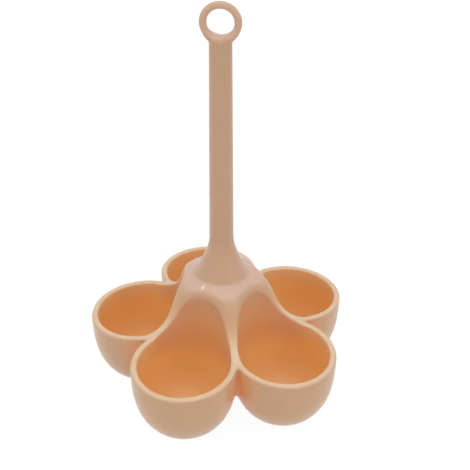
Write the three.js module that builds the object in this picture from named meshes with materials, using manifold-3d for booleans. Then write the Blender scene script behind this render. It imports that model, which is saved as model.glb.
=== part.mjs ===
// Egg rack moulded in silicone: five cups in a flower round a hub, with a stem and a hanging ring.
// Millimetres, +Z up. The feet of the cups stand on z = 0 and the ring lies in the XZ plane.

import * as THREE from 'three';
import { mergeVertices } from 'three/addons/utils/BufferGeometryUtils.js';
import Module from 'manifold-3d';

const wasm = await Module();
wasm.setup();

// Overall size and layout
const overallHeight = 198;
const cupCount = 5;

// Egg cups
const cupOuterRadius = 24.05;
const cupWall = 2.4;
const cupFloor = 3;
const cupFullness = 3;
const footRadius = 6;
const backStart = 22;

// Webs between neighbouring cups
const webThickness = 3.43;
const webFillet = 2;
const webDepth = 19.4;
const webTopDrop = 0.4;

// Crown: the surface shared by the cup rims, the ridges and the hub, from the rims up to the stem
const rimHeight = 39;
const rimStart = 4.25;
const rimFall = 0.13;
const rimSlope = THREE.MathUtils.degToRad(12);
const rimReach = 15.3;
const shoulderRise = 24.5;
const shoulderSlope = THREE.MathUtils.degToRad(43);
const shoulderReach = 4.8;
const creaseRadius = 12.9;
const creaseRise = 3.3;
const creaseSlope = THREE.MathUtils.degToRad(62);
const creaseReach = 8.3;
const flareRise = 20.4;
const flareReach = 7;
const hubSkin = 4;

// Stem and hanging ring
const stemFootRadius = 5.55;
const stemTopRadius = 4.8;
const stemEdge = 0.5;
const ringRadius = 7.34;
const ringTube = 1.56;
const ringSeatDepth = 2.2;

// Clearance left between touching pieces
const seam = 0.3;

// Fineness of the facets
const cupSides = 36;
const cupRows = 8;
const lipRows = 4;
const filletRows = 5;
const webRows = 4;
const crownSides = 40;
const flareRows = 6;
const ridgeRows = 10;
const stemSides = 24;
const ringSides = 36;
const ringTubeSides = 12;

// Worked out from the sizes above
const cupStep = (2 * Math.PI) / cupCount;
const halfStep = cupStep / 2;
const cupInnerRadius = cupOuterRadius - cupWall;
const lipRadius = cupWall / 2;
const gapHalfWidth = cupInnerRadius + webThickness / 2;
const cupOrbit = gapHalfWidth / Math.sin(halfStep);
const gapReach = cupOrbit * Math.cos(halfStep);
const footTurn = Math.asin(footRadius / cupOuterRadius);
const bowlDepth = rimHeight / Math.cos(footTurn) ** (2 / cupFullness);
const webBottom = rimHeight - webDepth;
const rackReach = cupOrbit + cupOuterRadius;
const rimRadius = cupOrbit + rimStart;
const shoulderRadius = cupOrbit - cupInnerRadius;
const shoulderHeight = rimHeight + shoulderRise;
const creaseHeight = shoulderHeight + creaseRise;
const flareTopHeight = creaseHeight + flareRise;
const ringHeight = overallHeight - ringRadius - ringTube;
const stemTopHeight = ringHeight - ringRadius - ringTube + ringSeatDepth;
const clearOfAll = 2 * overallHeight;

// A closed solid from a three.js geometry, with shared corners merged and collapsed faces dropped
function toSolid(geometry) {
  const bare = geometry.clone();
  bare.deleteAttribute('normal');
  bare.deleteAttribute('uv');
  const merged = mergeVertices(bare);
  const corners = merged.index.array;
  const faces = [];
  for (let i = 0; i < corners.length; i += 3) {
    const [a, b, c] = corners.slice(i, i + 3);
    if (a !== b && b !== c && c !== a) faces.push(a, b, c);
  }
  const vertProperties = new Float32Array(merged.attributes.position.array);
  return new wasm.Manifold(new wasm.Mesh({ numProp: 3, vertProperties, triVerts: new Uint32Array(faces) }));
}

// A three.js geometry from a solid
function toGeometry(solid) {
  const mesh = solid.getMesh();
  const geometry = new THREE.BufferGeometry();
  geometry.setAttribute('position', new THREE.BufferAttribute(mesh.vertProperties, 3));
  geometry.setIndex(new THREE.BufferAttribute(mesh.triVerts, 1));
  geometry.computeVertexNormals();
  return geometry;
}

// A solid of revolution about Z from a profile of radius and height
function turned(profile, sides) {
  return new THREE.LatheGeometry(profile, sides).rotateX(Math.PI / 2);
}

// Outline of the crown from the top of the flare, over crease and shoulder, down a ridge to the outermost rim
function crownOutline() {
  const flareTop = new THREE.Vector2(stemFootRadius, flareTopHeight);
  const crease = new THREE.Vector2(creaseRadius, creaseHeight);
  const shoulder = new THREE.Vector2(shoulderRadius, shoulderHeight);
  const rim = new THREE.Vector2(rimRadius, rimHeight);
  const flare = new THREE.CubicBezierCurve(
    flareTop,
    new THREE.Vector2(stemFootRadius, flareTopHeight - flareReach),
    new THREE.Vector2(
      creaseRadius - creaseReach * Math.cos(creaseSlope),
      creaseHeight + creaseReach * Math.sin(creaseSlope),
    ),
    crease,
  );
  const ridge = new THREE.CubicBezierCurve(
    shoulder,
    new THREE.Vector2(
      shoulderRadius + shoulderReach * Math.cos(shoulderSlope),
      shoulderHeight - shoulderReach * Math.sin(shoulderSlope),
    ),
    new THREE.Vector2(rimRadius - rimReach * Math.cos(rimSlope), rimHeight + rimReach * Math.sin(rimSlope)),
    rim,
  );
  const edge = new THREE.Vector2(rackReach, rimHeight - rimFall * (rackReach - rimRadius));
  return [...flare.getPoints(flareRows), ...ridge.getPoints(ridgeRows), edge];
}

const crown = crownOutline();

// Height of the crown at a distance from the stem's axis
function crownHeight(radius) {
  const last = crown.length - 1;
  let k = 1;
  while (k < last && crown[k].x < radius) k += 1;
  const from = crown[k - 1];
  const to = crown[k];
  const share = (radius - from.x) / (to.x - from.x);
  return THREE.MathUtils.lerp(from.y, to.y, share);
}

// Wall of a bowl from foot to brim: upright near the brim and round below it
function bowlCurve(radius, depth, lowest) {
  const points = [];
  for (let k = 0; k <= cupRows; k += 1) {
    const turn = THREE.MathUtils.lerp(lowest, Math.PI / 2, k / cupRows);
    const below = depth * Math.max(Math.cos(turn), 0) ** (2 / cupFullness);
    points.push(new THREE.Vector2(radius * Math.sin(turn), rimHeight - Math.max(below, lipRadius)));
  }
  return points;
}

// Profile of a cup before its brim is drawn to the crown: foot, outer wall, round lip, inner wall
function cupProfile() {
  const outer = bowlCurve(cupOuterRadius, bowlDepth, footTurn);
  const inner = bowlCurve(cupInnerRadius, rimHeight - cupFloor, 0).reverse();
  const lip = [];
  for (let k = 1; k < lipRows; k += 1) {
    const turn = (Math.PI * k) / lipRows;
    const middle = cupOuterRadius - lipRadius;
    lip.push(new THREE.Vector2(
      middle + lipRadius * Math.cos(turn),
      rimHeight - lipRadius + lipRadius * Math.sin(turn),
    ));
  }
  return [new THREE.Vector2(0, 0), ...outer, ...lip, ...inner];
}

// Draws the upper part of a cup, standing at its orbit on +X, up or down to meet the crown
function drawToCrown(geometry) {
  const webTurn = Math.PI / 2 + halfStep;
  const webSpread = Math.acos(Math.min(gapHalfWidth / cupOuterRadius, 1));
  const position = geometry.attributes.position;
  for (let i = 0; i < position.count; i += 1) {
    const x = position.getX(i);
    const y = position.getY(i);
    const z = position.getZ(i);
    if (z <= backStart) continue;
    const fromCup = Math.hypot(x - cupOrbit, y);
    const turn = Math.abs(Math.atan2(y, x - cupOrbit));
    const onOuterHalf = fromCup > cupOuterRadius - lipRadius;
    const backed = THREE.MathUtils.smoothstep(turn, webTurn - webSpread, webTurn + webSpread);
    const onLip = z > rimHeight - lipRadius - seam;
    const level = onLip && onOuterHalf ? THREE.MathUtils.lerp(z, rimHeight, backed) : z;
    const share = (level - backStart) / (rimHeight - backStart);
    position.setZ(i, level + share * (crownHeight(Math.hypot(x, y)) - rimHeight));
  }
  return geometry;
}

// Outer radius of a cup at a height up to its rim
function cupRadiusAt(height) {
  const below = Math.max(rimHeight - height, 0) / bowlDepth;
  return cupOuterRadius * Math.sqrt(1 - below ** cupFullness);
}

// How far past the narrowest place of a gap the fillet between two cups of this radius has its centre
function filletReach(radius) {
  return Math.sqrt(Math.max((radius + webFillet) ** 2 - gapHalfWidth ** 2, webFillet ** 2));
}

// Filler of one notch between two cups: half of the web, on the side of the cup that stands on +X
function webFiller() {
  const topReach = filletReach(cupOuterRadius);
  const touch = Math.atan2(gapHalfWidth, -topReach);
  const outline = new THREE.Shape();
  outline.moveTo(0, 0);
  outline.lineTo(topReach - webFillet, 0);
  outline.absarc(topReach, 0, webFillet, Math.PI, touch, true);
  outline.absarc(0, gapHalfWidth, cupInnerRadius + seam, touch + Math.PI, 1.5 * Math.PI, true);
  const geometry = new THREE.ExtrudeGeometry(outline, {
    depth: webDepth,
    steps: webRows,
    bevelEnabled: false,
    curveSegments: filletRows,
  });
  const position = geometry.attributes.position;
  for (let i = 0; i < position.count; i += 1) {
    const height = webBottom + position.getZ(i);
    const narrowing = filletReach(cupRadiusAt(height)) / topReach;
    const x = gapReach + position.getX(i) * narrowing;
    const y = position.getY(i);
    const top = crownHeight(Math.hypot(x, y)) - webTopDrop;
    const share = position.getZ(i) / webDepth;
    position.setXYZ(i, x, y, THREE.MathUtils.lerp(webBottom, top, share));
  }
  return geometry.rotateZ(-halfStep);
}

// The same geometry seen in a mirror across the XZ plane
function mirrored(geometry) {
  const copy = mergeVertices(geometry).scale(1, -1, 1);
  const index = copy.index;
  for (let i = 0; i < index.count; i += 3) {
    const kept = index.getX(i);
    index.setX(i, index.getX(i + 1));
    index.setX(i + 1, kept);
  }
  return copy;
}

// Everything beyond the middle plane of the gap beside a cup
function beyondGap() {
  return new THREE.BoxGeometry(clearOfAll, clearOfAll, clearOfAll)
    .translate(0, clearOfAll / 2 - seam / 2, 0)
    .rotateZ(halfStep);
}

// One egg cup, standing at its orbit on +X
function eggCup() {
  const bowl = drawToCrown(turned(cupProfile(), cupSides).translate(cupOrbit, 0, 0));
  const filler = webFiller();
  const gap = beyondGap();
  let cup = toSolid(bowl);
  for (const piece of [filler, mirrored(filler)]) cup = cup.add(toSolid(piece));
  for (const piece of [gap, mirrored(gap)]) cup = cup.subtract(toSolid(piece));
  return toGeometry(cup);
}

// Hub: the crown's middle with a hollow underside, cut free of the five cups
function hubBody() {
  const armReach = gapReach;
  const skirt = crown.filter((point) => point.x > creaseRadius && point.x < armReach);
  const under = skirt.map((point) => new THREE.Vector2(point.x - hubSkin / 2, point.y - hubSkin));
  const profile = [
    new THREE.Vector2(0, under[0].y),
    ...under,
    new THREE.Vector2(armReach, under.at(-1).y),
    new THREE.Vector2(armReach, crownHeight(armReach)),
    ...crown.filter((point) => point.x < armReach).reverse(),
    new THREE.Vector2(0, flareTopHeight),
  ];
  let hub = toSolid(turned(profile, crownSides));
  for (let k = 0; k < cupCount; k += 1) {
    const bay = new THREE.CylinderGeometry(cupOuterRadius + seam, cupOuterRadius + seam, clearOfAll, cupSides)
      .rotateX(Math.PI / 2)
      .translate(cupOrbit, 0, 0)
      .rotateZ(halfStep + k * cupStep);
    hub = hub.subtract(toSolid(bay));
  }
  return toGeometry(hub);
}

// The ring's own shape, with a tube that may be wider to cut its seat
function ringBody(tube) {
  return new THREE.TorusGeometry(ringRadius, tube, ringTubeSides, ringSides)
    .rotateX(Math.PI / 2)
    .translate(0, 0, ringHeight);
}

// Stem: a tapered rod with an eased top edge and a seat for the ring
function stemBody() {
  const foot = flareTopHeight + seam;
  const rod = turned(
    [
      new THREE.Vector2(0, foot),
      new THREE.Vector2(stemFootRadius, foot),
      new THREE.Vector2(stemTopRadius, stemTopHeight - stemEdge),
      new THREE.Vector2(stemTopRadius - stemEdge, stemTopHeight),
      new THREE.Vector2(0, stemTopHeight),
    ],
    stemSides,
  );
  return toGeometry(toSolid(rod).subtract(toSolid(ringBody(ringTube + seam))));
}

// Peach silicone with a satin surface
function silicone() {
  return new THREE.MeshStandardMaterial({ color: 0xdcb08a, roughness: 0.5, metalness: 0 });
}

// Adds a named piece to the rack
function addPiece(name, geometry, turn = 0) {
  const mesh = new THREE.Mesh(geometry, silicone());
  mesh.name = name;
  mesh.rotation.z = turn;
  rack.add(mesh);
}

// The rack is centred over its feet: along X the flower reaches further on the side of the single cup
const rack = new THREE.Group();
rack.position.x = (cupOrbit * (1 - Math.cos(halfStep))) / 2;

const cup = eggCup();
for (let k = 0; k < cupCount; k += 1) addPiece(`egg_cup_${k + 1}`, cup, Math.PI - k * cupStep);
addPiece('hub', hubBody());
addPiece('stem', stemBody());
addPiece('hanging_ring', toGeometry(toSolid(ringBody(ringTube))));

export default rack;
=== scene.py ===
"""Silicone egg rack in a white studio: a flower of egg cups round a hub, a flared stem and a hanging ring."""

import logging
import math
from dataclasses import dataclass, field
from enum import Enum

import bmesh
import bpy
import numpy as np
from mathutils import Matrix, Vector


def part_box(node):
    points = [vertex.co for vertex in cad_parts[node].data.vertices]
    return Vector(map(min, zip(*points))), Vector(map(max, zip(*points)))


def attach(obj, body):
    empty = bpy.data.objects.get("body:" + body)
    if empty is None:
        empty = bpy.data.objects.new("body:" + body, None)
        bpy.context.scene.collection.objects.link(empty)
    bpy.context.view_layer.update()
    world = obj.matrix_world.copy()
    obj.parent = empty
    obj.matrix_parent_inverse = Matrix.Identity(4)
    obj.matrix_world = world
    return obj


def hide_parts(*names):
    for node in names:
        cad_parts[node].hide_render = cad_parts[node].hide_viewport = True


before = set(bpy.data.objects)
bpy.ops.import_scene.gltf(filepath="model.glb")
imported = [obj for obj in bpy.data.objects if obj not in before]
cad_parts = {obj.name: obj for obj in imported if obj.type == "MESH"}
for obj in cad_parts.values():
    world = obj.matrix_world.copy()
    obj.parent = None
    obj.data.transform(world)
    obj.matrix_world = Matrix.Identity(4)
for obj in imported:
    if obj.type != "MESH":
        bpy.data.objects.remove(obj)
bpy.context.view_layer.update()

BODY = "root"
# The least number to divide by, and how near two corners lie that become one.
TINY = 1e-9
WELD = 1e-6
# Places of the colours among the sockets of a Mix node.
MIX_COLOURS = (6, 7)
MIX_RESULT = 2

Colour = tuple[float, float, float]
Span = tuple[float, float]

log = logging.getLogger("egg_rack")


class Side(Enum):
    """Sides of the hidden seam between the hub's flare and the stem, as signs along Z."""

    BELOW = -1.0
    ABOVE = 1.0


class Paint(Enum):
    """Painted light and shade on the silicone, as grades from 0 to 1, later ones over earlier ones."""

    # Painted light: paler where surfaces face up, as where light falls from above, and on the ring.
    BLOOM = "bloom"
    # Painted light on the lit rims of the cups and on the bowl floors.
    LIP = "lip"
    # Painted orange light, bounced inside the cups and passed through their thin walls and ridges.
    WARMTH = "warmth"
    # Painted orange light, bounced in the folds between two cups.
    FOLD = "fold"
    # Painted shade in the scoops by the hub and in the middle of the folds.
    DUSK = "dusk"


Grades = dict[Paint, np.ndarray]


def round_union(a: np.ndarray, b: np.ndarray, radius: np.ndarray | float) -> np.ndarray:
    """Joins two solids with a hollow fillet.

    Args:
        a: Signed distances to the first solid.
        b: Signed distances to the second solid.
        radius: Reach of the fillet, one for all points or one for each.

    Returns:
        Signed distances to the joined solid.
    """
    reach = np.hypot(np.maximum(radius - a, 0.0), np.maximum(radius - b, 0.0))
    return np.maximum(radius, np.minimum(a, b)) - reach


def round_cut(a: np.ndarray, b: np.ndarray, radius: np.ndarray | float) -> np.ndarray:
    """Keeps what two solids share, with a round edge between them.

    Args:
        a: Signed distances to the first solid.
        b: Signed distances to the second solid.
        radius: Radius of the edge, one for all points or one for each.

    Returns:
        Signed distances to the shared solid.
    """
    reach = np.hypot(np.maximum(radius + a, 0.0), np.maximum(radius + b, 0.0))
    return np.minimum(-radius, np.maximum(a, b)) + reach


def rise(low: float, high: np.ndarray | float, value: np.ndarray) -> np.ndarray:
    """Rises smoothly from 0 at low to 1 at high.

    Args:
        low: Value at which the rise starts.
        high: Value at which it ends, one for all values or one for each.
        value: The values to grade.

    Returns:
        The grades, from 0 to 1.
    """
    t = np.clip((value - low) / (high - low), 0.0, 1.0)
    return t * t * (3.0 - 2.0 * t)


def fall(low: float, high: np.ndarray | float, value: np.ndarray) -> np.ndarray:
    """Falls smoothly from 1 at low to 0 at high, with the same arguments as rise."""
    return 1.0 - rise(low, high, value)


def bezier(points: list[tuple[float, float]], steps: int = 60) -> np.ndarray:
    """Samples a cubic curve.

    Args:
        points: Start, two handles and end.
        steps: Number of stretches.

    Returns:
        One row of two values for each sample.
    """
    a, b, c, d = np.array(points, float)
    t = np.linspace(0.0, 1.0, steps + 1)[:, None]
    return a * (1 - t) ** 3 + 3 * b * t * (1 - t) ** 2 + 3 * c * t**2 * (1 - t) + d * t**3


@dataclass
class Curve:
    """A smooth curve of one value over another, such as a height over a radius.

    Attributes:
        points: The places and values that it follows, one pair in a row.
        low: The first place.
        high: The last place.
        ease: Width of the bell that rounds its corners.
        step: Distance between two samples.
        spread: Reach of the bell, in its widths.
        at: Places of the samples.
        value: Values of the samples.
        slope: Slopes of the samples.
    """

    points: np.ndarray
    low: float
    high: float
    ease: float = 0.0008
    step: float = 0.0001
    spread: float = 3.0
    at: np.ndarray = field(init=False)
    value: np.ndarray = field(init=False)
    slope: np.ndarray = field(init=False)

    def __post_init__(self) -> None:
        """Samples the points evenly and eases their corners."""
        order = np.argsort(self.points[:, 0], kind="stable")
        given = self.points[order]
        reach = int(round(self.spread * self.ease / self.step))
        offsets = np.arange(-reach, reach + 1) * self.step
        weights = np.exp(-0.5 * (offsets / self.ease) ** 2)
        count = int(round((self.high - self.low) / self.step)) + 1
        self.at = self.low + np.arange(count) * self.step
        wide = self.low + np.arange(-reach, count + reach) * self.step
        raw = np.interp(wide, given[:, 0], given[:, 1])
        self.value = np.convolve(raw, weights / weights.sum(), mode="valid")
        self.slope = np.gradient(self.value, self.step)

    def __call__(self, where: np.ndarray) -> np.ndarray:
        """Gives the curve's value at each place."""
        return np.interp(where, self.at, self.value)

    def gap(self, where: np.ndarray, value: np.ndarray) -> np.ndarray:
        """Gives how far each value lies beyond the curve, measured square to it."""
        slope = np.interp(where, self.at, self.slope)
        return (value - self(where)) / np.sqrt(1.0 + slope**2)


@dataclass
class RackSizes:
    """Sizes that all pieces of the rack share, in metres."""

    cup_count: int = 5
    cup_radius: float = 0.02495
    cup_wall: float = 0.0031
    cup_floor: float = 0.003
    cup_fullness: float = 3.2
    foot_radius: float = 0.006
    web: float = 0.004
    rim_height: float = 0.0385
    rim_flat: float = 0.004
    rim_fall: float = 0.085
    shoulder_rise: float = 0.0242
    crease_radius: float = 0.013
    crease_rise: float = 0.0023
    flare_rise: float = 0.0207
    stem_skin: float = 0.00013
    ring_skin: float = 0.00014
    axis_x: float = field(init=False)
    ring_tube: float = field(init=False)
    ring_radius: float = field(init=False)
    ring_height: float = field(init=False)
    stem_foot_radius: float = field(init=False)
    stem_top: float = field(init=False)

    def __post_init__(self) -> None:
        """Takes the places of the ring and the stem from the frame."""
        low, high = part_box("hanging_ring")
        self.axis_x = (low.x + high.x) / 2
        self.ring_tube = (high.y - low.y) / 2 + self.ring_skin / 3
        self.ring_radius = (high.x - low.x) / 2 + self.ring_skin - self.ring_tube
        self.ring_height = high.z - self.ring_radius - self.ring_tube
        low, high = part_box("stem")
        self.stem_foot_radius = (high.x - low.x) / 2 + self.stem_skin
        self.stem_top = high.z

    @property
    def half_step(self) -> float:
        """Half of the angle from one cup to the next."""
        return math.pi / self.cup_count

    @property
    def inner_radius(self) -> float:
        """Radius of a cup's mouth."""
        return self.cup_radius - self.cup_wall

    @property
    def gap_half(self) -> float:
        """Distance from a cup's axis to the middle plane of the gap beside it."""
        return self.inner_radius + self.web / 2

    @property
    def orbit(self) -> float:
        """Distance from the stem's axis to a cup's axis."""
        return self.gap_half / math.sin(self.half_step)

    @property
    def gap_reach(self) -> float:
        """Distance from the stem's axis to the narrowest place of a gap."""
        return self.orbit * math.cos(self.half_step)

    @property
    def bowl_depth(self) -> float:
        """Depth of a cup's outer wall, to the tip that the flat foot cuts off."""
        turn = math.asin(self.foot_radius / self.cup_radius)
        return self.rim_height / math.cos(turn) ** (2 / self.cup_fullness)

    @property
    def shoulder(self) -> tuple[float, float]:
        """Radius and height of the hub's shoulder, where the scoops start."""
        return self.orbit - self.inner_radius, self.rim_height + self.shoulder_rise

    @property
    def crease_height(self) -> float:
        """Height of the crease between the hub and the flared stem."""
        return self.rim_height + self.shoulder_rise + self.crease_rise

    @property
    def flare_top(self) -> float:
        """Height at which the flare has narrowed to the stem."""
        return self.crease_height + self.flare_rise


@dataclass
class StemLine:
    """Outline of the stem, from the flare that grows out of the hub to the flat top."""

    sizes: RackSizes
    top_radius: float = 0.00492
    crease_slope: float = math.radians(62)
    crease_reach: float = 0.0083
    flare_reach: float = 0.007
    buried: float = 0.003
    overlap: float = 0.004
    tuck: float = 0.015
    ease: float = 0.0004
    stations: int = 80
    radius: Curve = field(init=False)

    def __post_init__(self) -> None:
        """Draws the radius over the height."""
        size = self.sizes
        flare = bezier([
            (size.crease_radius, size.crease_height),
            (
                size.crease_radius - self.crease_reach * math.cos(self.crease_slope),
                size.crease_height + self.crease_reach * math.sin(self.crease_slope),
            ),
            (size.stem_foot_radius, size.flare_top - self.flare_reach),
            (size.stem_foot_radius, size.flare_top),
        ])
        foot = (size.crease_radius + self.buried / math.tan(self.crease_slope), self.low)
        rows = np.array([foot, *flare, (self.top_radius, size.stem_top)])[:, ::-1]
        self.radius = Curve(rows, self.low - self.buried, size.ring_height, ease=self.ease)

    @property
    def low(self) -> float:
        """Height at which the flare ends inside the hub."""
        return self.sizes.crease_height - self.buried

    def rod(self, points: np.ndarray, side: Side) -> np.ndarray:
        """Distance from the part of the stem on one side of the seam, which tucks in just past it.

        Args:
            points: Places, one in a row.
            side: The side that is wanted.

        Returns:
            Signed distances, negative inside.
        """
        height = points[:, 2]
        past = np.maximum(side.value * (self.sizes.flare_top - height), 0.0)
        radius = np.hypot(points[:, 0] - self.sizes.axis_x, points[:, 1])
        rod = self.radius.gap(height, radius + self.tuck * past)
        return np.maximum(rod, past - self.overlap)

    def outline(self, side: Side) -> list[tuple[float, float]]:
        """Section of the stem on one side of the seam, for a rough solid.

        Args:
            side: The side that is wanted.

        Returns:
            Radii and heights, from the axis to the axis.
        """
        size = self.sizes
        ends = {
            Side.BELOW: (self.low, size.flare_top + self.overlap),
            Side.ABOVE: (size.flare_top - self.overlap, size.stem_top),
        }
        heights = np.linspace(*ends[side], self.stations)
        return [(0.0, heights[0]), *zip(self.radius(heights), heights), (0.0, heights[-1])]


@dataclass
class FinishNodes:
    """A new material and its nodes, with short ways to add more of them."""

    name: str
    material: bpy.types.Material = field(init=False)
    place: bpy.types.NodeSocket = field(init=False)

    def __post_init__(self) -> None:
        """Makes the material with its plain shader and the object's coordinates."""
        self.material = bpy.data.materials.new(self.name)
        self.material.use_nodes = True
        self.place = self.add("ShaderNodeTexCoord").outputs["Object"]

    @property
    def tree(self) -> bpy.types.NodeTree:
        """The material's node tree."""
        return self.material.node_tree

    @property
    def shader(self) -> bpy.types.Node:
        """The shader that the material starts with."""
        return self.tree.nodes["Principled BSDF"]

    def add(self, kind: str) -> bpy.types.Node:
        """Adds a node of some kind."""
        return self.tree.nodes.new(kind)

    def join(self, start: bpy.types.NodeSocket, end: bpy.types.NodeSocket) -> None:
        """Links two sockets."""
        self.tree.links.new(start, end)

    def noise(self, scale: float, detail: float = 2.0) -> bpy.types.NodeSocket:
        """Adds a noise over the object.

        Args:
            scale: Its scale.
            detail: Its detail.

        Returns:
            The noise's value.
        """
        node = self.add("ShaderNodeTexNoise")
        node.inputs["Scale"].default_value = scale
        node.inputs["Detail"].default_value = detail
        self.join(self.place, node.inputs["Vector"])
        return node.outputs["Fac"]

    def graded(self, value: bpy.types.NodeSocket, start: Span, end: Span) -> bpy.types.NodeSocket:
        """Maps a value from one span to another.

        Args:
            value: The value.
            start: The span that it has.
            end: The span that it gets.

        Returns:
            The mapped value.
        """
        node = self.add("ShaderNodeMapRange")
        for name, number in zip(("From Min", "From Max", "To Min", "To Max"), (*start, *end)):
            node.inputs[name].default_value = number
        self.join(value, node.inputs["Value"])
        return node.outputs["Result"]

    def mixed(
        self, share: bpy.types.NodeSocket, a: bpy.types.NodeSocket | Colour, b: bpy.types.NodeSocket | Colour
    ) -> bpy.types.NodeSocket:
        """Mixes two colours, each given as a value or a socket.

        Args:
            share: How much of the second colour shows.
            a: The first colour.
            b: The second colour.

        Returns:
            The mixed colour.
        """
        node = self.add("ShaderNodeMix")
        node.data_type = "RGBA"
        self.join(share, node.inputs["Factor"])
        for place, colour in zip(MIX_COLOURS, (a, b)):
            if isinstance(colour, tuple):
                node.inputs[place].default_value = (*colour, 1.0)
            else:
                self.join(colour, node.inputs[place])
        return node.outputs[MIX_RESULT]

    def painted(self, paint: Paint) -> bpy.types.NodeSocket:
        """Reads a grade of painted light or shade that the moulding carries on its surface.

        Args:
            paint: The paint that is wanted.

        Returns:
            Its grade.
        """
        node = self.add("ShaderNodeAttribute")
        node.attribute_name = paint.value
        return node.outputs["Fac"]


@dataclass(frozen=True)
class PeachSilicone:
    """Satin peach silicone with painted light and shade: orange where the moulding folds in on itself."""

    name: str = "peach_silicone"
    pale: Colour = (0.69, 0.43, 0.26)
    blush: Colour = (0.72, 0.45, 0.295)
    # Painted light: paler tone of surfaces that face up, and of the ring.
    bloom: Colour = (0.81, 0.555, 0.415)
    # Painted light: pale tone of the lit rims and bowl floors.
    rim_light_tone: Colour = (0.91, 0.67, 0.44)
    # Painted light: orange of light bounced inside the cups and passed through their walls.
    orange_light_tone: Colour = (1.0, 0.575, 0.21)
    # Painted light: orange of light bounced in the folds between cups.
    fold_light_tone: Colour = (0.97, 0.485, 0.24)
    # Painted shade: darker brown of the scoops and of the folds' middle.
    dusk: Colour = (0.70, 0.27, 0.16)
    cloud_scale: float = 38.0
    satin_scale: float = 220.0
    satin_detail: float = 3.0
    grain_scale: float = 2600.0
    noise_middle: Span = (0.3, 0.7)
    roughness: Span = (0.38, 0.50)
    grain: float = 0.00006
    grain_strength: float = 0.25
    subsurface: float = 0.3
    subsurface_depth: float = 0.0022
    subsurface_tint: Colour = (1.0, 0.45, 0.25)
    specular: float = 0.3
    sheen: float = 0.1
    sheen_roughness: float = 0.35
    coat: float = 0.4
    coat_roughness: float = 0.06

    @property
    def tones(self) -> dict[Paint, Colour]:
        """The colour of each paint, in the order that they cover each other."""
        return dict(zip(Paint, (self.bloom, self.rim_light_tone, self.orange_light_tone, self.fold_light_tone, self.dusk)))

    def material(self) -> bpy.types.Material:
        """Builds the finish from noise on object coordinates and the painted light and shade on the surface.

        Returns:
            The finished material.
        """
        bench = FinishNodes(self.name)
        shader = bench.shader
        cloud = bench.graded(bench.noise(self.cloud_scale), self.noise_middle, (0.0, 1.0))
        colour = bench.mixed(cloud, self.pale, self.blush)
        for paint, tone in self.tones.items():
            colour = bench.mixed(bench.painted(paint), colour, tone)
        bench.join(colour, shader.inputs["Base Color"])
        gloss = bench.noise(self.satin_scale, self.satin_detail)
        satin = bench.graded(gloss, self.noise_middle, self.roughness)
        bench.join(satin, shader.inputs["Roughness"])
        bump = bench.add("ShaderNodeBump")
        bump.inputs["Strength"].default_value = self.grain_strength
        bump.inputs["Distance"].default_value = self.grain
        bench.join(bench.noise(self.grain_scale), bump.inputs["Height"])
        bench.join(bump.outputs["Normal"], shader.inputs["Normal"])
        shader.inputs["Subsurface Weight"].default_value = self.subsurface
        shader.inputs["Subsurface Radius"].default_value = self.subsurface_tint
        shader.inputs["Subsurface Scale"].default_value = self.subsurface_depth
        shader.inputs["Specular IOR Level"].default_value = self.specular
        shader.inputs["Sheen Weight"].default_value = self.sheen
        shader.inputs["Sheen Roughness"].default_value = self.sheen_roughness
        shader.inputs["Coat Weight"].default_value = self.coat
        shader.inputs["Coat Roughness"].default_value = self.coat_roughness
        return bench.material


def sight(tree: bpy.types.NodeTree) -> bpy.types.NodeSocket:
    """Adds nodes that tell rays that see or mirror a surface from rays that only carry its light.

    Args:
        tree: The node tree to add to.

    Returns:
        A value of 1 for rays of the camera, of reflections and of glass, and 0 for the others.
    """
    path = tree.nodes.new("ShaderNodeLightPath")
    value = path.outputs["Is Camera Ray"]
    for ray in ("Is Glossy Ray", "Is Transmission Ray"):
        either = tree.nodes.new("ShaderNodeMath")
        either.operation = "MAXIMUM"
        tree.links.new(value, either.inputs[0])
        tree.links.new(path.outputs[ray], either.inputs[1])
        value = either.outputs["Value"]
    return value


@dataclass(frozen=True)
class StudioWhite:
    """White paper of the studio floor, which keeps a faint shadow."""

    name: str = "studio_white"
    paper: Span = (0.85, 0.87)
    fibre_scale: float = 900.0
    roughness: float = 0.9
    glow: float = 0.88
    white: float = 1.08

    def material(self) -> bpy.types.Material:
        """Builds the paper: white to the camera and in reflections, with part of the shadow kept.

        Returns:
            The finished material.
        """
        bench = FinishNodes(self.name)
        shader = bench.shader
        shader.inputs["Roughness"].default_value = self.roughness
        shader.inputs["Specular IOR Level"].default_value = 0.0
        tone = bench.graded(bench.noise(self.fibre_scale), (0.0, 1.0), self.paper)
        bench.join(tone, shader.inputs["Base Color"])
        share = bench.add("ShaderNodeMath")
        share.operation = "MULTIPLY"
        share.inputs[1].default_value = self.glow
        bench.join(sight(bench.tree), share.inputs[0])
        white = bench.add("ShaderNodeEmission")
        white.inputs["Strength"].default_value = self.white
        mix = bench.add("ShaderNodeMixShader")
        bench.join(share.outputs["Value"], mix.inputs["Fac"])
        bench.join(shader.outputs["BSDF"], mix.inputs[1])
        bench.join(white.outputs["Emission"], mix.inputs[2])
        bench.join(mix.outputs["Shader"], bench.tree.nodes["Material Output"].inputs["Surface"])
        return bench.material


def bmesh_object(name: str, shape: bmesh.types.BMesh) -> bpy.types.Object:
    """Puts a bmesh into a new object of the scene and frees it.

    Args:
        name: Name of the object and its mesh.
        shape: The shape, in metres, in place.

    Returns:
        The object.
    """
    mesh = bpy.data.meshes.new(name)
    shape.to_mesh(mesh)
    shape.free()
    thing = bpy.data.objects.new(name, mesh)
    bpy.context.scene.collection.objects.link(thing)
    return thing


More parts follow.
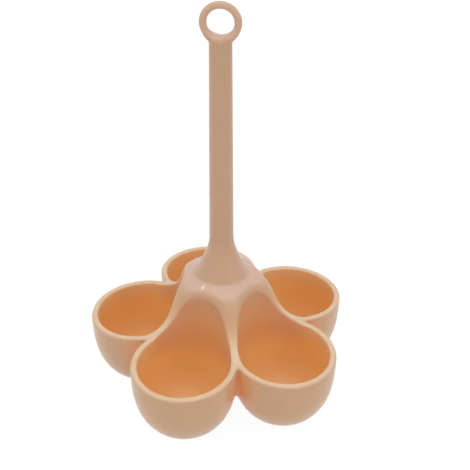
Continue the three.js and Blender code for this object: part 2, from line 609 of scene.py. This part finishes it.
def spun(
    shape: bmesh.types.BMesh, profile: list[tuple[float, float]], axis_x: float, steps: int
) -> list[bmesh.types.BMVert]:
    """Adds a solid of revolution to a bmesh.

    Args:
        shape: The bmesh to add to.
        profile: Radii and heights, from the axis round to the axis, or a loop that ends at its first point.
        axis_x: Place of the upright axis on X.
        steps: Number of sides.

    Returns:
        The new solid's corners.
    """
    before = set(shape.verts)
    chain = [shape.verts.new((axis_x + radius, 0.0, height)) for radius, height in profile]
    edges = [shape.edges.new(pair) for pair in zip(chain, chain[1:])]
    bmesh.ops.spin(
        shape,
        geom=chain + edges,
        cent=(axis_x, 0.0, 0.0),
        axis=(0.0, 0.0, 1.0),
        angle=2 * math.pi,
        steps=steps,
        use_merge=True,
    )
    made = [v for v in shape.verts if v not in before]
    bmesh.ops.remove_doubles(shape, verts=made, dist=WELD)
    return [v for v in shape.verts if v not in before]


@dataclass
class Moulding:
    """One seamless silicone piece: rough solids merged into one skin, then drawn onto its true surface.

    Attributes:
        sizes: The rack's sizes.
        name: Name of the piece.
        cell: Width of the skin's cells.
        rounds: How often the skin is drawn and smoothed.
        round_steps: Corrections in each round.
        last_steps: Corrections at the end.
        probe: Distance over which slopes are measured.
        least_slope: Slope below which a correction isn't made longer.
        upward: How far up a surface faces where the painted light from above starts, and where it is full.
    """

    sizes: RackSizes
    name: str
    cell: float
    rounds: int = 4
    round_steps: int = 3
    last_steps: int = 6
    probe: float = 0.00002
    least_slope: float = 0.5
    upward: Span = (0.55, 0.98)

    def distance(self, points: np.ndarray) -> np.ndarray:
        """Signed distance of each point from the true surface, negative inside."""
        raise NotImplementedError

    def rough(self) -> bmesh.types.BMesh:
        """Closed solids that overlap and roughly fill the piece."""
        raise NotImplementedError

    def grades(self, points: np.ndarray, normals: np.ndarray) -> Grades:
        """Grades from 0 to 1 for the surface's finish: here only painted light on what faces up.

        Args:
            points: Places on the surface, one in a row.
            normals: The surface's directions there.

        Returns:
            The grades of each paint.
        """
        plain = {paint: np.zeros(len(points)) for paint in Paint}
        # Painted light: what faces up is painted paler, as where light falls from above.
        return plain | {Paint.BLOOM: rise(*self.upward, normals[:, 2])}

    def slopes(self, points: np.ndarray) -> np.ndarray:
        """Gradient of the distance at each point.

        Args:
            points: Places, one in a row.

        Returns:
            One row of three slopes for each place.
        """
        columns = []
        for axis in range(3):
            aside = np.zeros(3)
            aside[axis] = self.probe
            change = self.distance(points + aside) - self.distance(points - aside)
            columns.append(change / (2 * self.probe))
        return np.stack(columns, -1)

    def drawn(self, points: np.ndarray, steps: int) -> np.ndarray:
        """Moves points onto the true surface.

        Args:
            points: Places near the surface, one in a row.
            steps: Number of corrections.

        Returns:
            The places on the surface.
        """
        for _ in range(steps):
            slope = self.slopes(points)
            steep = np.maximum((slope**2).sum(1), self.least_slope**2)
            move = -(self.distance(points) / steep)[:, None] * slope
            length = np.maximum(np.linalg.norm(move, axis=1), TINY)
            points = points + move * np.minimum(1.0, self.cell / length)[:, None]
        return points

    def merged(self) -> bpy.types.Mesh:
        """Merges the rough solids into one closed skin of even cells.

        Returns:
            The skin's mesh.
        """
        shell = bmesh_object(self.name + "_rough", self.rough())
        merge = shell.modifiers.new("merge", "REMESH")
        merge.mode = "VOXEL"
        merge.voxel_size = self.cell
        graph = bpy.context.evaluated_depsgraph_get()
        mesh = bpy.data.meshes.new_from_object(shell.evaluated_get(graph))
        bpy.data.objects.remove(shell)
        mesh.name = self.name
        return mesh

    def shaped(self) -> tuple[bpy.types.Mesh, np.ndarray]:
        """Smooths the merged skin and draws it onto the true surface, by turns.

        Returns:
            The mesh and the places of its corners, one in a row.
        """
        mesh = self.merged()
        points = np.empty(len(mesh.vertices) * 3)
        for _ in range(self.rounds):
            mesh.vertices.foreach_get("co", points)
            surface = self.drawn(points.reshape(-1, 3), self.round_steps)
            mesh.vertices.foreach_set("co", surface.ravel())
            skin = bmesh.new()
            skin.from_mesh(mesh)
            bmesh.ops.smooth_vert(
                skin, verts=skin.verts, factor=0.5, use_axis_x=True, use_axis_y=True, use_axis_z=True
            )
            skin.to_mesh(mesh)
            skin.free()
        mesh.vertices.foreach_get("co", points)
        surface = self.drawn(points.reshape(-1, 3), self.last_steps)
        mesh.vertices.foreach_set("co", surface.ravel())
        return mesh, surface

    def dress(self, mesh: bpy.types.Mesh, surface: np.ndarray, finish: bpy.types.Material) -> None:
        """Gives the skin the true surface's normals, its grades and its finish.

        Args:
            mesh: The skin.
            surface: Places of its corners, one in a row.
            finish: Its material.
        """
        slope = self.slopes(surface)
        normals = slope / np.maximum(np.linalg.norm(slope, axis=1, keepdims=True), TINY)
        mesh.shade_smooth()
        mesh.normals_split_custom_set_from_vertices(normals)
        for paint, grade in self.grades(surface, normals).items():
            layer = mesh.attributes.new(paint.value, "FLOAT", "POINT")
            layer.data.foreach_set("value", grade.astype(np.float32))
        mesh.materials.clear()
        mesh.materials.append(finish)

    def build(self, finish: bpy.types.Material) -> bpy.types.Object:
        """Makes the finished piece.

        Args:
            finish: Its material.

        Returns:
            The piece, riding on the rack.
        """
        mesh, surface = self.shaped()
        self.dress(mesh, surface, finish)
        piece = bpy.data.objects.new(self.name, mesh)
        bpy.context.scene.collection.objects.link(piece)
        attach(piece, BODY)
        return piece


@dataclass
class FlowerSpots:
    """Where points of the flower lie, in metres, with one value for each point.

    Attributes:
        radius: Distances from the stem's axis.
        height: Heights above the floor.
        hollow: Distances from the space that the nearest cup holds.
        sunk: Depths under the crown.
        across: Distances from the next cup's outer wall.
    """

    radius: np.ndarray
    height: np.ndarray
    hollow: np.ndarray
    sunk: np.ndarray
    across: np.ndarray


@dataclass(frozen=True)
class FlowerTones:
    """Where light and shade are painted into the flower's colour over its surface.

    A skin is measured in thicknesses of a cup's wall and every other length in metres. A fade is the share
    that a tone loses, and a glow or a shade is the share of painted light or shade that it adds. The pair
    hub_side reaches to both sides of a cup's axis, and wall_top to both sides of the rim.
    """

    inside_reach: Span = (0.00002, 0.0005)
    outer_skin: Span = (0.3, 0.9)
    scoop_start: float = 0.002
    scoop_fade: float = 0.55
    # Painted shade in the scoops on the hub's side of each cup, less near the top.
    hub_side: Span = (0.008, 0.006)
    scoop_shade: float = 0.45
    shade_heights: Span = (0.020, 0.038)
    shade_fade: float = 0.25
    bottom_heights: Span = (0.008, 0.028)
    bottom_fade: float = 0.25
    brim_depths: Span = (0.001, 0.012)
    brim_fade: float = 0.46
    edge_depths: Span = (0.0006, 0.0028)
    edge_fade: float = 0.6
    # Painted orange light in the folds between cups, with painted shade in their middle.
    fold_reach: float = 0.013
    fold_top: float = 0.004
    fold_heights: Span = (0.006, 0.022)
    fold_core: Span = (0.0007, 0.0016)
    fold_shade: float = 0.5
    # Painted glow of the outer walls near the rim, for light through the thin silicone.
    wall_top: Span = (0.002, 0.004)
    wall_glow: float = 0.15
    # Painted light on the rims, reaching deeper down the inner side of the cups.
    lip_start: float = 0.0005
    lip_depths: Span = (0.0026, 0.014)
    lip_skin: float = 0.6
    lip_rise: Span = (0.002, 0.018)
    # Painted glow of the ridges between cups, for light through the thin silicone.
    ridge_rise: Span = (0.002, 0.010)
    ridge_end: float = 0.008
    ridge_skin: float = 2.0
    ridge_glow: float = 0.25

    def grades(self, size: RackSizes, spots: FlowerSpots) -> Grades:
        """Grades the painted light inside the cups, in the folds and on the lips, and the painted shade.

        Args:
            size: The rack's sizes.
            spots: Where the points of the surface lie.

        Returns:
            The grades of each paint but the painted light from above.
        """
        rim = size.rim_height
        height = spots.height
        # Inside the cups, where most of the painted light and shade goes.
        inside = fall(*self.inside_reach, spots.hollow)
        outside = rise(self.outer_skin[0] * size.cup_wall, self.outer_skin[1] * size.cup_wall, spots.hollow)
        raised = rise(rim - self.scoop_start, size.shoulder[1], height)
        # Bowl floors, painted paler as lit from above, with less painted orange light.
        bottom = inside * fall(*self.bottom_heights, height)
        inward = fall(size.orbit - self.hub_side[0], size.orbit + self.hub_side[1], spots.radius)

        # Painted orange light in the folds between cups, for light bounced between the two walls.
        fold = fall(0.0, self.fold_reach, spots.across) * fall(rim - self.fold_top, rim, height)
        fold = fold * outside * rise(*self.fold_heights, height)

        # Painted shade: the scoops by the hub and the middle of the folds are painted darker.
        dusk = self.scoop_shade * inside * inward * rise(*self.shade_heights, height)
        dusk = dusk * (1.0 - self.shade_fade * raised)
        dusk = dusk + self.fold_shade * fold * fall(*self.fold_core, spots.across)

        # Painted light on the rims: paler near the crown, reaching deeper inside the cups.
        lip_depth = self.lip_depths[0] + (self.lip_depths[1] - self.lip_depths[0]) * inside
        lip = fall(self.lip_start, lip_depth, spots.sunk)
        lip = lip * fall(self.lip_skin * size.cup_wall, size.cup_wall, spots.hollow)
        lip = lip * fall(rim + self.lip_rise[0], rim + self.lip_rise[1], height)

        # Painted orange light inside the cups, for light bounced there and passed through the walls, less on
        # the floors, the scoops and near the crown.
        warmth = inside * (1.0 - self.bottom_fade * bottom) * (1.0 - self.scoop_fade * raised)
        warmth = warmth * (1.0 - self.brim_fade * fall(*self.brim_depths, spots.sunk))
        warmth = warmth * (1.0 - self.edge_fade * fall(*self.edge_depths, spots.sunk))
        # Painted light: outer walls near the rim and the ridges glow orange, for light through the thin
        # silicone.
        wall = outside * fall(rim - self.wall_top[0], rim + self.wall_top[1], height)
        ridge = rise(rim + self.ridge_rise[0], rim + self.ridge_rise[1], height)
        ridge = ridge * fall(size.shoulder[1] - self.ridge_end, size.shoulder[1], height)
        ridge = ridge * fall(size.cup_wall, self.ridge_skin * size.cup_wall, spots.hollow)
        glow = np.maximum(self.ridge_glow * ridge, self.wall_glow * wall)
        return {
            # Painted light on the rims and on the bowl floors.
            Paint.LIP: np.maximum(lip, bottom),
            Paint.WARMTH: np.maximum(warmth, glow),
            Paint.FOLD: fold,
            Paint.DUSK: dusk,
        }


@dataclass
class CupFlower(Moulding):
    """The egg cups, the webs between them and the hollow hub that carries them."""

    name: str = "cup_flower"
    cell: float = 0.00095
    tones: FlowerTones = FlowerTones()
    back_start: float = 0.022
    lip_edge: float = 0.0008
    scoop_edge: float = 0.0026
    crease_fillet: float = 0.001
    web_fillet: Span = (0.0016, 0.0036)
    web_depth: float = 0.7
    hub_fillet: float = 0.002
    foot_edge: float = 0.0008
    hub_skin: float = 0.004
    under_ease: float = 0.002
    rim_slope: float = math.radians(15.3)
    rim_reach: float = 0.0175
    shoulder_slope: float = math.radians(34)
    shoulder_reach: float = 0.0122
    crown_margin: float = 1.2
    least_bowl_slope: float = 0.5
    rough_sides: int = 72
    rough_rows: int = 25
    ridge_cells: tuple[int, int] = (24, 6)
    ridge_depth: float = 2.5
    line: StemLine = field(init=False)
    crown: Curve = field(init=False)
    under: Curve = field(init=False)

    def __post_init__(self) -> None:
        """Draws the crown, the surface of rims, ridges and hub, and the hub's underside."""
        size = self.sizes
        self.line = StemLine(size)
        shoulder_r, shoulder_z = size.shoulder
        rim_r = size.orbit
        ridge = bezier([
            (shoulder_r, shoulder_z),
            (
                shoulder_r + self.shoulder_reach * math.cos(self.shoulder_slope),
                shoulder_z - self.shoulder_reach * math.sin(self.shoulder_slope),
            ),
            (
                rim_r - self.rim_reach * math.cos(self.rim_slope),
                size.rim_height + self.rim_reach * math.sin(self.rim_slope),
            ),
            (rim_r, size.rim_height),
        ])
        beyond = self.crown_margin * (size.orbit + size.cup_radius)
        level = (rim_r + size.rim_flat, size.rim_height)
        edge = (beyond, size.rim_height - size.rim_fall * (beyond - level[0]))
        inside = [(0.0, size.crease_height), (size.crease_radius, size.crease_height)]
        self.crown = Curve(np.array([*inside, *ridge, level, edge]), 0.0, beyond)
        far = self.crown.at
        roof = np.minimum(self.crown(far + self.hub_skin / 2) - self.hub_skin, shoulder_z - self.hub_skin)
        self.under = Curve(np.stack([far, roof], -1), 0.0, beyond, ease=self.under_ease)

    def folded(self, points: np.ndarray) -> tuple[np.ndarray, np.ndarray, np.ndarray, np.ndarray]:
        """Turns points about the stem into the sector of the nearest cup.

        Args:
            points: Places, one in a row.

        Returns:
            Distances from the stem's axis, the nearest cup's axis and the next cup's axis, and heights.
        """
        size = self.sizes
        x = points[:, 0] - size.axis_x
        y = points[:, 1]
        radius = np.hypot(x, y)
        step = 2 * size.half_step
        turn = np.arctan2(y, -x)
        turn = np.abs(turn - step * np.round(turn / step))
        near = np.hypot(radius * np.cos(turn) - size.orbit, radius * np.sin(turn))
        aside = step - turn
        following = np.hypot(radius * np.cos(aside) - size.orbit, radius * np.sin(aside))
        return radius, near, following, points[:, 2]

    def bowl(self, radius: np.ndarray, height: np.ndarray, mouth: float, depth: float) -> np.ndarray:
        """Distance from a bowl that is upright near its mouth and round below it.

        Args:
            radius: Distances from the bowl's axis.
            height: Heights.
            mouth: Radius of the mouth.
            depth: Depth below the rim.

        Returns:
            Signed distances, negative in the bowl.
        """
        full = self.sizes.cup_fullness
        below = np.maximum(self.sizes.rim_height - height, 0.0) / depth
        level = (radius / mouth) ** 2 + below**full - 1.0
        steep = np.hypot(2 * radius / mouth**2, full * below ** (full - 1) / depth)
        return level / np.maximum(steep, self.least_bowl_slope / mouth)

    def cup(self, radius: np.ndarray, height: np.ndarray) -> np.ndarray:
        """Distance from a cup's outer wall, negative within it."""
        return self.bowl(radius, height, self.sizes.cup_radius, self.sizes.bowl_depth)

    def hollow(self, radius: np.ndarray, height: np.ndarray) -> np.ndarray:
        """Distance from the space that a cup holds, negative in it."""
        size = self.sizes
        return self.bowl(radius, height, size.inner_radius, size.rim_height - size.cup_floor)

    def distance(self, points: np.ndarray) -> np.ndarray:
        """Measures how far points lie from the flower's surface.

        Args:
            points: Places, one in a row.

        Returns:
            Signed distances, negative inside.
        """
        size = self.sizes
        radius, near, following, height = self.folded(points)
        depth = rise(0.0, self.web_depth * size.rim_height, size.rim_height - height)
        fillet = self.web_fillet[0] + (self.web_fillet[1] - self.web_fillet[0]) * depth
        outer = round_union(self.cup(near, height), self.cup(following, height), fillet)
        cups = round_cut(outer, -height, self.foot_edge)
        hub = np.maximum(radius - size.gap_reach, -self.under.gap(radius, height))
        body = round_union(cups, hub, self.hub_fillet)
        walls = np.maximum(body, -self.hollow(near, height))
        share = rise(size.rim_height, size.shoulder[1], height)
        edge = self.lip_edge + (self.scoop_edge - self.lip_edge) * share
        flower = round_cut(walls, self.crown.gap(radius, height), edge)
        flare = np.maximum(self.line.rod(points, Side.BELOW), self.line.low - height)
        return round_union(flower, flare, self.crease_fillet)

    def grades(self, points: np.ndarray, normals: np.ndarray) -> Grades:
        """Grades the painted light on what faces up, and the flower's painted light and shade.

        Args:
            points: Places on the surface, one in a row.
            normals: The surface's directions there.

        Returns:
            The grades of each paint.
        """
        radius, near, following, height = self.folded(points)
        spots = FlowerSpots(
            radius=radius,
            height=height,
            hollow=self.hollow(near, height),
            sunk=-self.crown.gap(radius, height),
            across=self.cup(following, height),
        )
        return super().grades(points, normals) | self.tones.grades(self.sizes, spots)

    def cup_profile(self) -> list[tuple[float, float]]:
        """Section of a cup: foot, outer wall, brim, inner wall and floor.

        Returns:
            Radii and heights, from the axis to the axis.
        """
        size = self.sizes
        turns = np.linspace(0.0, math.pi / 2, self.rough_rows)
        drop = np.cos(turns).clip(0.0) ** (2 / size.cup_fullness)
        heights = np.maximum(size.rim_height - size.bowl_depth * drop, 0.0)
        outer = zip(size.cup_radius * np.sin(turns), heights)
        floor = size.rim_height - size.cup_floor
        inner = zip(size.inner_radius * np.sin(turns), size.rim_height - floor * drop)
        return [*outer, *reversed(list(inner))]

    def rough(self) -> bmesh.types.BMesh:
        """Cups drawn up to the crown, ridges between them and a disc under the stem.

        Returns:
            The overlapping solids.
        """
        size = self.sizes
        shape = bmesh.new()
        cup = spun(shape, self.cup_profile(), size.orbit, self.rough_sides)
        for corner in cup:
            share = (corner.co.z - self.back_start) / (size.rim_height - self.back_start)
            climb = float(self.crown(np.hypot(corner.co.x, corner.co.y))) - size.rim_height
            corner.co.z += max(share, 0.0) * climb
        self.rough_ridge(shape)
        bmesh.ops.spin(
            shape,
            geom=list(shape.verts) + list(shape.edges) + list(shape.faces),
            cent=(0.0, 0.0, 0.0),
            axis=(0.0, 0.0, 1.0),
            angle=2 * math.pi * (size.cup_count - 1) / size.cup_count,
            steps=size.cup_count - 1,
            use_duplicate=True,
        )
        shoulder_r, shoulder_z = size.shoulder
        low = shoulder_z - self.hub_skin
        disc = [
            (0.0, low),
            (shoulder_r, low),
            (shoulder_r, shoulder_z),
            (size.crease_radius, size.crease_height),
            (0.0, size.crease_height),
        ]
        spun(shape, disc, 0.0, self.rough_sides)
        spun(shape, self.line.outline(Side.BELOW), 0.0, self.rough_sides)
        bmesh.ops.recalc_face_normals(shape, faces=shape.faces)
        turn = Matrix.Translation((size.axis_x, 0.0, 0.0)) @ Matrix.Rotation(math.pi, 4, "Z")
        bmesh.ops.transform(shape, matrix=turn, verts=shape.verts)
        return shape

    def rough_ridge(self, shape: bmesh.types.BMesh) -> None:
        """Adds the ridge between two cups: a plate that follows the crown and fills the gap's width.

        Args:
            shape: The bmesh to add to.
        """
        size = self.sizes
        long_cells, wide_cells = self.ridge_cells
        plate = bmesh.ops.create_grid(shape, x_segments=long_cells, y_segments=wide_cells, size=1.0)["verts"]
        inmost = size.crease_radius - size.gap_reach
        outmost = size.inner_radius / 3
        bite = size.inner_radius + size.cup_wall / 3
        along = Vector((math.cos(size.half_step), math.sin(size.half_step), 0.0))
        across = Vector((-along.y, along.x, 0.0))
        for corner in plate:
            reach = inmost + (outmost - inmost) * (corner.co.x + 1.0) / 2
            half = size.gap_half - math.sqrt(max(bite**2 - reach**2, 0.0))
            place = along * (size.gap_reach + reach) + across * (half * corner.co.y)
            place.z = float(self.crown(place.length))
            corner.co = place
        faces = list({f for v in plate for f in v.link_faces})
        thick = bmesh.ops.extrude_face_region(shape, geom=faces, use_keep_orig=True)
        low = [g for g in thick["geom"] if isinstance(g, bmesh.types.BMVert)]
        bmesh.ops.translate(shape, verts=low, vec=(0.0, 0.0, -self.ridge_depth * self.hub_skin))


@dataclass
class StemWithRing(Moulding):
    """The stem and the hanging ring, whose tube widens into the stem's top like a saddle."""

    name: str = "stem_with_ring"
    cell: float = 0.00045
    top_edge: float = 0.0012
    ring_fillet: float = 0.001
    neck_flat: float = 1.2
    neck_length: float = 0.016
    saddle_wide: float = 2.4
    saddle_thick: float = 1.25
    saddle_span: Span = (0.4, 1.0)
    # Painted light on the ring, for light through its thin tube: its share and the heights over which it
    # comes in.
    ring_light_share: float = 0.5
    ring_light_span: Span = (0.001, 0.002)
    rod_sides: int = 48
    tube_sides: int = 24
    ring_sides: int = 72
    line: StemLine = field(init=False)

    def __post_init__(self) -> None:
        """Draws the stem's outline."""
        self.line = StemLine(self.sizes)

    @property
    def neck_top(self) -> float:
        """Height at which the stem ends inside the ring's tube."""
        return self.sizes.ring_height - self.sizes.ring_radius

    def distance(self, points: np.ndarray) -> np.ndarray:
        """Measures how far points lie from the surface of stem and ring.

        Args:
            points: Places, one in a row.

        Returns:
            Signed distances, negative inside.
        """
        size = self.sizes
        across = points[:, 0] - size.axis_x
        height = points[:, 2]
        flat = rise(size.stem_top - self.neck_length, size.stem_top, height)
        pinched = points.copy()
        pinched[:, 1] *= 1.0 + (self.neck_flat - 1.0) * flat
        neck = round_cut(self.line.rod(pinched, Side.ABOVE), height - self.neck_top, self.top_edge)
        spread = np.maximum(np.hypot(across, height - size.ring_height), TINY)
        beyond = spread - size.ring_radius
        saddle = rise(*self.saddle_span, (size.ring_height - height) / spread)
        thick = size.ring_tube * (1.0 + (self.saddle_thick - 1.0) * saddle)
        wide = size.ring_tube * (1.0 + (self.saddle_wide - 1.0) * saddle)
        level = np.hypot(beyond / thick, points[:, 1] / wide)
        steep = np.hypot(beyond / thick**2, points[:, 1] / wide**2)
        ring = (level - 1.0) * level / np.maximum(steep, TINY)
        return round_union(neck, ring, self.ring_fillet)

    def grades(self, points: np.ndarray, normals: np.ndarray) -> Grades:
        """Grades the ring a little lighter than the stem, because light passes through its thin tube.

        Args:
            points: Places on the surface, one in a row.
            normals: The surface's directions there.

        Returns:
            The grades of each paint.
        """
        plain = super().grades(points, normals)
        top = self.sizes.stem_top
        # Painted light: the ring is painted paler than the stem, for light that passes through its thin tube.
        ring = self.ring_light_share * rise(top - self.ring_light_span[0], top + self.ring_light_span[1], points[:, 2])
        return plain | {Paint.BLOOM: np.maximum(plain[Paint.BLOOM], ring)}

    def rough(self) -> bmesh.types.BMesh:
        """A turned rod and a turned ring that overlap.

        Returns:
            The overlapping solids.
        """
        size = self.sizes
        shape = bmesh.new()
        spun(shape, self.line.outline(Side.ABOVE), 0.0, self.rod_sides)
        turns = np.linspace(0.0, 2 * math.pi, self.tube_sides + 1)
        tube = zip(size.ring_radius + size.ring_tube * np.cos(turns), size.ring_tube * np.sin(turns))
        ring = spun(shape, list(tube), 0.0, self.ring_sides)
        upright = Matrix.Translation((0.0, 0.0, size.ring_height)) @ Matrix.Rotation(math.pi / 2, 4, "X")
        bmesh.ops.transform(shape, matrix=upright, verts=ring)
        bmesh.ops.recalc_face_normals(shape, faces=shape.faces)
        bmesh.ops.translate(shape, verts=shape.verts, vec=(size.axis_x, 0.0, 0.0))
        return shape


@dataclass(frozen=True)
class Lamp:
    """A soft square lamp that looks at a point."""

    name: str
    place: tuple[float, float, float]
    size: float
    power: float
    aim: tuple[float, float, float] = (0.0, 0.0, 0.06)

    def light(self) -> None:
        """Hangs the lamp in the scene."""
        data = bpy.data.lights.new(self.name, "AREA")
        data.shape = "SQUARE"
        data.size = self.size
        data.energy = self.power
        lamp = bpy.data.objects.new(self.name, data)
        bpy.context.scene.collection.objects.link(lamp)
        lamp.location = self.place
        lamp.rotation_euler = (Vector(self.aim) - Vector(self.place)).to_track_quat("-Z", "Y").to_euler()


@dataclass
class Studio:
    """A white floor, soft light from above and from both sides, and the camera at the photograph's place."""

    sizes: RackSizes
    floor_half: float = 6.0
    sky: float = 0.54
    camera_reach: float = 0.370229
    camera_turn: float = math.radians(7.9206)
    camera_height: float = 0.322261
    camera_pitch: float = math.radians(32.6196)
    camera_yaw: float = math.radians(0.9866)
    camera_roll: float = math.radians(0.2739)
    focal_pixels: float = 934.14
    picture_pixels: float = 470.0
    sensor_width: float = 36.0
    clip: Span = (0.01, 50.0)
    lamps: tuple[Lamp, ...] = (
        Lamp("overhead_softbox", (0.1, -0.25, 1.5), 1.0, 4.0, (0.0, 0.0, 0.05)),
        Lamp("left_softbox", (-1.1, -0.6, 0.8), 0.8, 1.5),
        Lamp("right_softbox", (1.2, -0.6, 0.8), 0.8, 2.0),
        Lamp("glint_lamp", (-0.559, 0.371, 1.290), 0.1, 0.4),
    )

    def floor(self, finish: bpy.types.Material) -> None:
        """Lays the floor under the feet of the cups.

        Args:
            finish: Its material.
        """
        sheet = bmesh.new()
        bmesh.ops.create_grid(sheet, x_segments=1, y_segments=1, size=self.floor_half)
        floor = bmesh_object("floor", sheet)
        floor.data.materials.append(finish)

    def surround(self) -> None:
        """Fills the studio with even white light, and with plain white where it is seen or mirrored."""
        world = bpy.data.worlds.new("studio_light")
        bpy.context.scene.world = world
        world.use_nodes = True
        nodes = world.node_tree.nodes
        links = world.node_tree.links
        strength = nodes.new("ShaderNodeMapRange")
        strength.inputs["To Min"].default_value = self.sky
        strength.inputs["To Max"].default_value = 1.0
        links.new(sight(world.node_tree), strength.inputs["Value"])
        back = nodes["Background"]
        back.inputs["Color"].default_value = (1.0, 1.0, 1.0, 1.0)
        links.new(strength.outputs["Result"], back.inputs["Strength"])

    def camera(self) -> None:
        """Sets the camera up at the photograph's viewing angle."""
        data = bpy.data.cameras.new("camera")
        data.sensor_width = self.sensor_width
        data.lens = self.focal_pixels / self.picture_pixels * self.sensor_width
        data.clip_start, data.clip_end = self.clip
        camera = bpy.data.objects.new("camera", data)
        bpy.context.scene.collection.objects.link(camera)
        place = Vector((
            self.sizes.axis_x + self.camera_reach * math.sin(self.camera_turn),
            -self.camera_reach * math.cos(self.camera_turn),
            self.camera_height,
        ))
        heading = Matrix.Rotation(self.camera_turn - self.camera_yaw, 4, "Z")
        tilt = Matrix.Rotation(math.pi / 2 - self.camera_pitch, 4, "X")
        roll = Matrix.Rotation(self.camera_roll, 4, "Z")
        camera.matrix_world = Matrix.Translation(place) @ heading @ tilt @ roll
        bpy.context.scene.camera = camera

    def build(self) -> None:
        """Sets up floor, light and camera."""
        self.floor(StudioWhite().material())
        self.surround()
        for lamp in self.lamps:
            lamp.light()
        self.camera()


def main() -> None:
    """Builds the rack's pieces in order, then the studio."""
    logging.basicConfig(level=logging.INFO, format="%(name)s %(message)s")
    bpy.context.scene.view_settings.view_transform = "Standard"
    sizes = RackSizes()
    silicone = PeachSilicone().material()
    cups = [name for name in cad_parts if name.startswith("egg_cup")]
    flower = CupFlower(sizes).build(silicone)
    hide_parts("hub", *cups)
    stem = StemWithRing(sizes).build(silicone)
    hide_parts("stem", "hanging_ring")
    for piece in (flower, stem):
        log.info("%s: %d faces", piece.name, len(piece.data.polygons))
    Studio(sizes).build()


if __name__ == "__main__":
    main()
